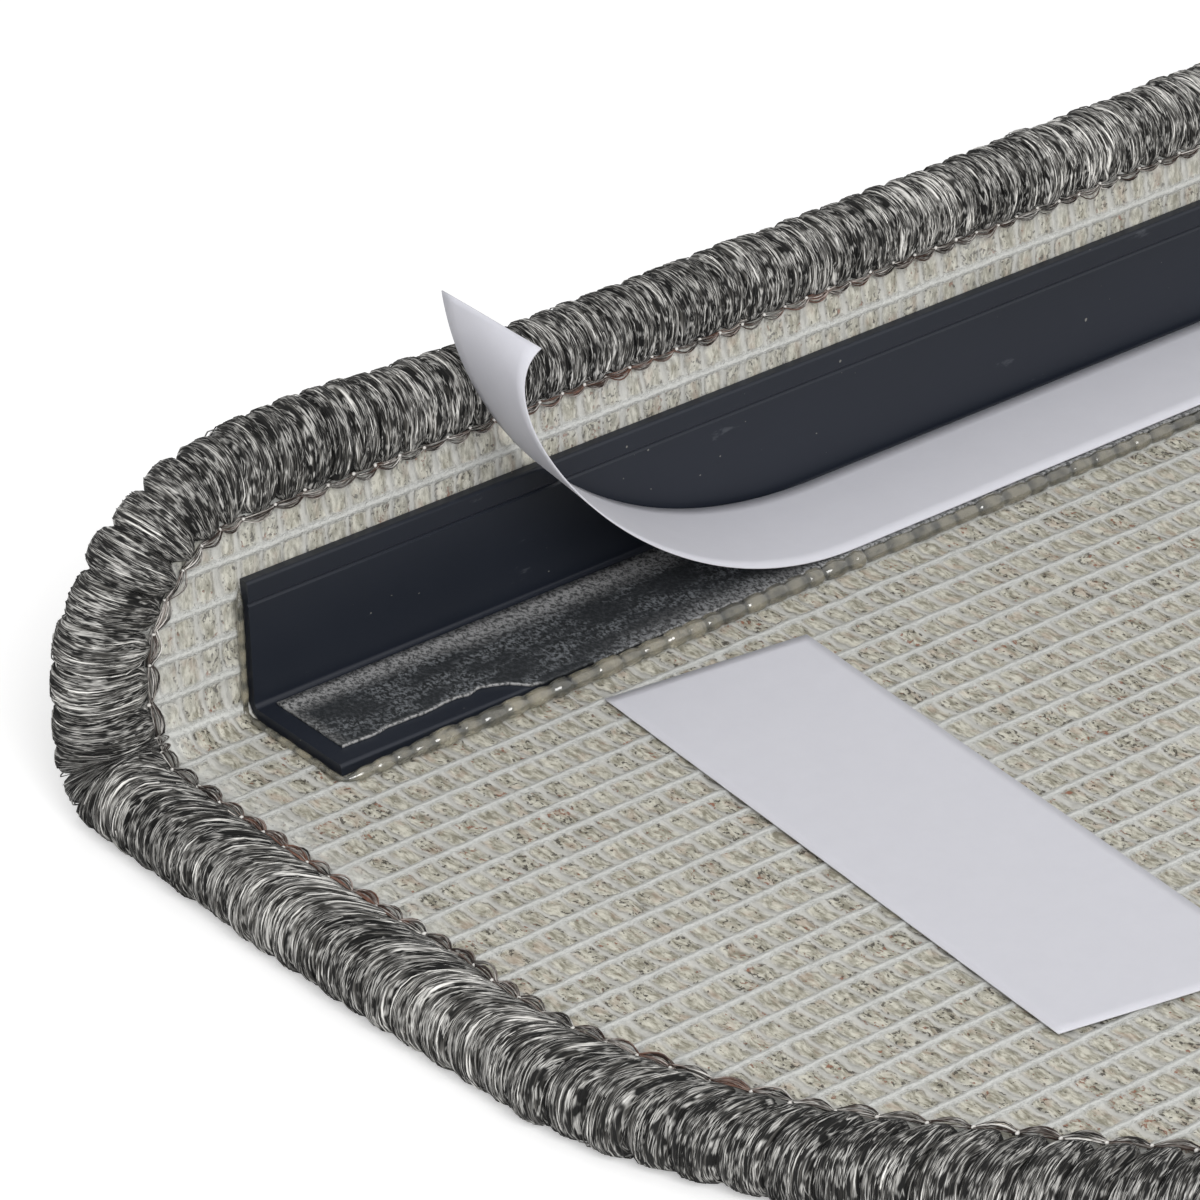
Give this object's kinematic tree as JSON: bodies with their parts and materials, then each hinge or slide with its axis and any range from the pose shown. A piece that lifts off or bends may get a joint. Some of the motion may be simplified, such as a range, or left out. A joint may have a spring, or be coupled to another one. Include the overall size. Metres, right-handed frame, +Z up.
{
  "type": "stair tread mat",
  "caption": "Half-moon carpet stair tread mat, pile side down, with a whipped edge, an L-shaped nosing profile in its folded flap, and adhesive tape under release liners.",
  "frame": {"origin": "on the floor, at the middle of the mat's outline seen from above", "axes": "+X along the mat's straight side, +Y towards the folded-up nosing flap, +Z up, out of the latex backing"},
  "size_m": [0.65, 0.235, 0.0486],
  "materials": {
    "carpet": "woven carpet, latex-coated jute-coloured backing over a grey looped pile",
    "edging_yarn": "mottled grey filament yarn with a silky sheen",
    "stitch_thread": "grey-brown sewing thread",
    "profile_plastic": "satin anthracite extruded plastic with fine scuffs",
    "hot_glue": "translucent yellowish hot-melt glue",
    "tape": "fibrous double-sided tape, thin enough to show what lies under it",
    "liner": "matt white siliconised release paper"
  },
  "bodies": {
    "root": {"carpet": "carpet", "edge_whipping": "edging_yarn", "chain_stitch": "stitch_thread", "nosing_profile": "profile_plastic", "profile_glue": "hot_glue", "profile_tape": "tape", "profile_liner": "liner", "strip_tape_left": "tape", "strip_tape_right": "tape", "strip_liner_left": "liner", "strip_liner_right": "liner"}
  },
  "joints": []
}
